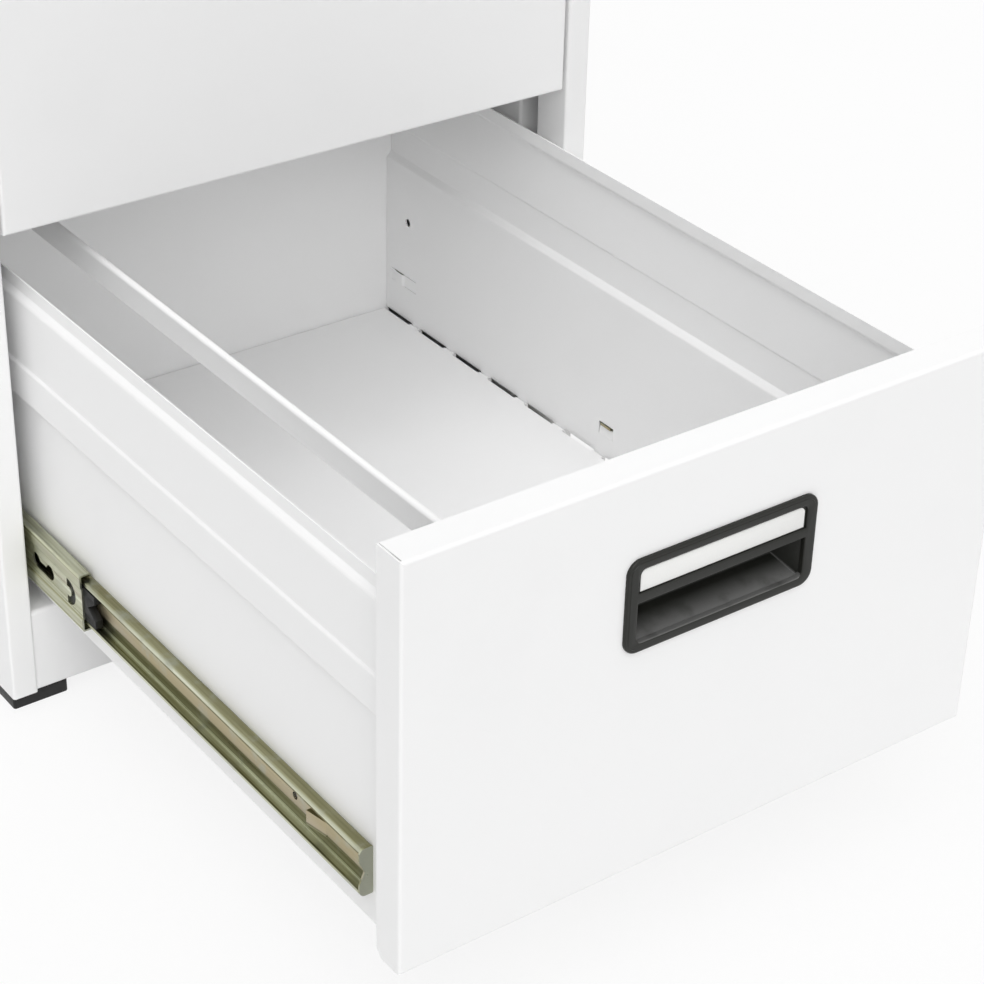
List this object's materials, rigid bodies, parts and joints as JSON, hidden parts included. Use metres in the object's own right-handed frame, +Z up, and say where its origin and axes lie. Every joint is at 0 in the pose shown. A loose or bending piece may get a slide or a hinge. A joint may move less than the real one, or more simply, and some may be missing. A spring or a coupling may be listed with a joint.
{
  "type": "filing cabinet",
  "caption": "White steel filing cabinet with full-height drawers on ball slides, recessed black handles with label windows, and a rail for hanging files.",
  "frame": {"origin": "on the floor, at the middle of the space that the cabinet takes up with its lower drawer open as in the rest pose", "axes": "+Z up; the drawers open towards -Y; +X to the right of somebody who faces the drawers"},
  "size_m": [0.462, 1.0628, 0.643],
  "materials": {
    "white_paint": "smooth satin white powder coat on steel sheet",
    "yellow_zinc": "steel with a thin yellow zinc plating",
    "handle_plastic": "satin near-black moulded plastic",
    "black_plastic": "matt black moulded plastic",
    "card": "plain white card, blank"
  },
  "bodies": {
    "cabinet": {"back_panel": "white_paint", "back_rivets": "yellow_zinc", "base_pan": "white_paint", "front_left_foot": "black_plastic", "front_right_foot": "black_plastic", "header_rail": "white_paint", "left_front_upright": "white_paint", "left_rear_upright": "white_paint", "left_side_panel": "white_paint", "lower_left_cabinet_member": "yellow_zinc", "lower_right_cabinet_member": "yellow_zinc", "rear_left_foot": "black_plastic", "rear_right_foot": "black_plastic", "right_front_upright": "white_paint", "right_rear_upright": "white_paint", "right_side_panel": "white_paint", "slide_rivets": "yellow_zinc", "top_panel": "white_paint", "top_stiffener": "white_paint", "upper_left_cabinet_member": "yellow_zinc", "upper_right_cabinet_member": "yellow_zinc"},
    "lower_drawer": {"lower_back": "white_paint", "lower_file_rail": "white_paint", "lower_floor": "white_paint", "lower_front": "white_paint", "lower_front_liner": "white_paint", "lower_handle": "handle_plastic", "lower_label_card": "card", "lower_left_drawer_member": "yellow_zinc", "lower_left_wall": "white_paint", "lower_right_drawer_member": "yellow_zinc", "lower_right_wall": "white_paint"},
    "lower_intermediates": {"lower_end_bumpers": "black_plastic", "lower_left_intermediate_member": "yellow_zinc", "lower_right_intermediate_member": "yellow_zinc"},
    "lower_outer_cages": {"lower_outer_ball_cages": "yellow_zinc"},
    "lower_inner_cages": {"lower_inner_ball_cages": "yellow_zinc"},
    "upper_drawer": {"upper_back": "white_paint", "upper_file_rail": "white_paint", "upper_floor": "white_paint", "upper_front": "white_paint", "upper_front_liner": "white_paint", "upper_handle": "handle_plastic", "upper_label_card": "card", "upper_left_drawer_member": "yellow_zinc", "upper_left_wall": "white_paint", "upper_right_drawer_member": "yellow_zinc", "upper_right_wall": "white_paint"},
    "upper_intermediates": {"upper_end_bumpers": "black_plastic", "upper_left_intermediate_member": "yellow_zinc", "upper_right_intermediate_member": "yellow_zinc"},
    "upper_outer_cages": {"upper_outer_ball_cages": "yellow_zinc"},
    "upper_inner_cages": {"upper_inner_ball_cages": "yellow_zinc"}
  },
  "joints": [
    {"name": "lower_drawer_slide", "type": "slide", "parent": "cabinet", "child": "lower_drawer", "axis": [0, -1, 0], "range_m": [-0.424, 0.135]},
    {"name": "lower_intermediates_slide", "type": "slide", "parent": "cabinet", "child": "lower_intermediates", "axis": [0, -1, 0], "range_m": [-0.212, 0.0675]},
    {"name": "lower_outer_cages_slide", "type": "slide", "parent": "cabinet", "child": "lower_outer_cages", "axis": [0, -1, 0], "range_m": [-0.106, 0.03375]},
    {"name": "lower_inner_cages_slide", "type": "slide", "parent": "cabinet", "child": "lower_inner_cages", "axis": [0, -1, 0], "range_m": [-0.318, 0.10125]},
    {"name": "upper_drawer_slide", "type": "slide", "parent": "cabinet", "child": "upper_drawer", "axis": [0, -1, 0], "range_m": [0, 0.559]},
    {"name": "upper_intermediates_slide", "type": "slide", "parent": "cabinet", "child": "upper_intermediates", "axis": [0, -1, 0], "range_m": [0, 0.2795]},
    {"name": "upper_outer_cages_slide", "type": "slide", "parent": "cabinet", "child": "upper_outer_cages", "axis": [0, -1, 0], "range_m": [0, 0.13975]},
    {"name": "upper_inner_cages_slide", "type": "slide", "parent": "cabinet", "child": "upper_inner_cages", "axis": [0, -1, 0], "range_m": [0, 0.41925]}
  ],
  "couplings": [
    {"joint": "lower_intermediates_slide", "follows": "lower_drawer_slide", "ratio": 0.5},
    {"joint": "lower_outer_cages_slide", "follows": "lower_drawer_slide", "ratio": 0.25},
    {"joint": "lower_inner_cages_slide", "follows": "lower_drawer_slide", "ratio": 0.75},
    {"joint": "upper_intermediates_slide", "follows": "upper_drawer_slide", "ratio": 0.5},
    {"joint": "upper_outer_cages_slide", "follows": "upper_drawer_slide", "ratio": 0.25},
    {"joint": "upper_inner_cages_slide", "follows": "upper_drawer_slide", "ratio": 0.75}
  ]
}
